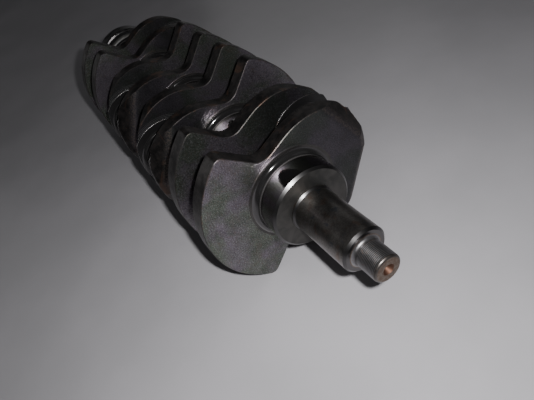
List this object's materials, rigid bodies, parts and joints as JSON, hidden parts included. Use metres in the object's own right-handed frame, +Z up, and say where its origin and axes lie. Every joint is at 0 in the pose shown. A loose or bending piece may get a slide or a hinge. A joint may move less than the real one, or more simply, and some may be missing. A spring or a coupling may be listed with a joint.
{
  "type": "engine crankshaft",
  "caption": "Inline engine crankshaft: ground main journals and crankpins between fan-shaped counterweight webs, plain nose with threaded end, bolted rear flange with pilot bearing.",
  "frame": {"origin": "on the crank's axis, at the middle of the centre main journal", "axes": "+X along the crank's axis towards the nose, +Y towards the first and last crankpins, +Z up; the crank lies on the corners of its counterweights"},
  "size_m": [0.5255, 0.1592, 0.1308],
  "materials": {
    "forged_web_steel": "dark forged steel, flat faces skimmed, mottled",
    "ground_journal_steel": "ground and lapped, near mirror",
    "nose_steel": "fine turned, heat stained brown and blue",
    "thread_steel": "bright rolled thread, lightly rusted end",
    "turned_flange_steel": "turned, dark oil film",
    "dowel_steel": "ground dowel stock",
    "bearing_steel": "superfinished bearing steel",
    "bearing_cage": "moulded polyamide",
    "bearing_shield": "pressed sheet steel"
  },
  "bodies": {
    "crank": {"nose_thread": "thread_steel", "nose_shaft": "nose_steel", "main_journal_1": "ground_journal_steel", "web_1": "forged_web_steel", "crankpin_1": "ground_journal_steel", "web_2": "forged_web_steel", "main_journal_2": "ground_journal_steel", "web_3": "forged_web_steel", "crankpin_2": "ground_journal_steel", "web_4": "forged_web_steel", "main_journal_3": "ground_journal_steel", "web_5": "forged_web_steel", "crankpin_3": "ground_journal_steel", "web_6": "forged_web_steel", "main_journal_4": "ground_journal_steel", "web_7": "forged_web_steel", "crankpin_4": "ground_journal_steel", "web_8": "forged_web_steel", "main_journal_5": "ground_journal_steel", "oil_seal_land": "ground_journal_steel", "flywheel_flange": "turned_flange_steel", "flange_dowel": "dowel_steel", "pilot_bearing_outer_ring": "bearing_steel", "pilot_bearing_shields": "bearing_shield"},
    "spigot_ring": {"pilot_bearing_inner_ring": "bearing_steel"},
    "ball_set": {"pilot_bearing_balls": "bearing_steel", "pilot_bearing_cage": "bearing_cage"}
  },
  "joints": [
    {"name": "spigot_spin", "type": "hinge", "parent": "crank", "child": "spigot_ring", "pos_m": [-0.2312, 0, 0], "axis": [1, 0, 0], "continuous": true},
    {"name": "ball_set_spin", "type": "hinge", "parent": "crank", "child": "ball_set", "pos_m": [-0.2312, 0, 0], "axis": [1, 0, 0], "continuous": true}
  ],
  "couplings": [
    {"joint": "ball_set_spin", "follows": "spigot_spin", "ratio": 0.3818}
  ]
}
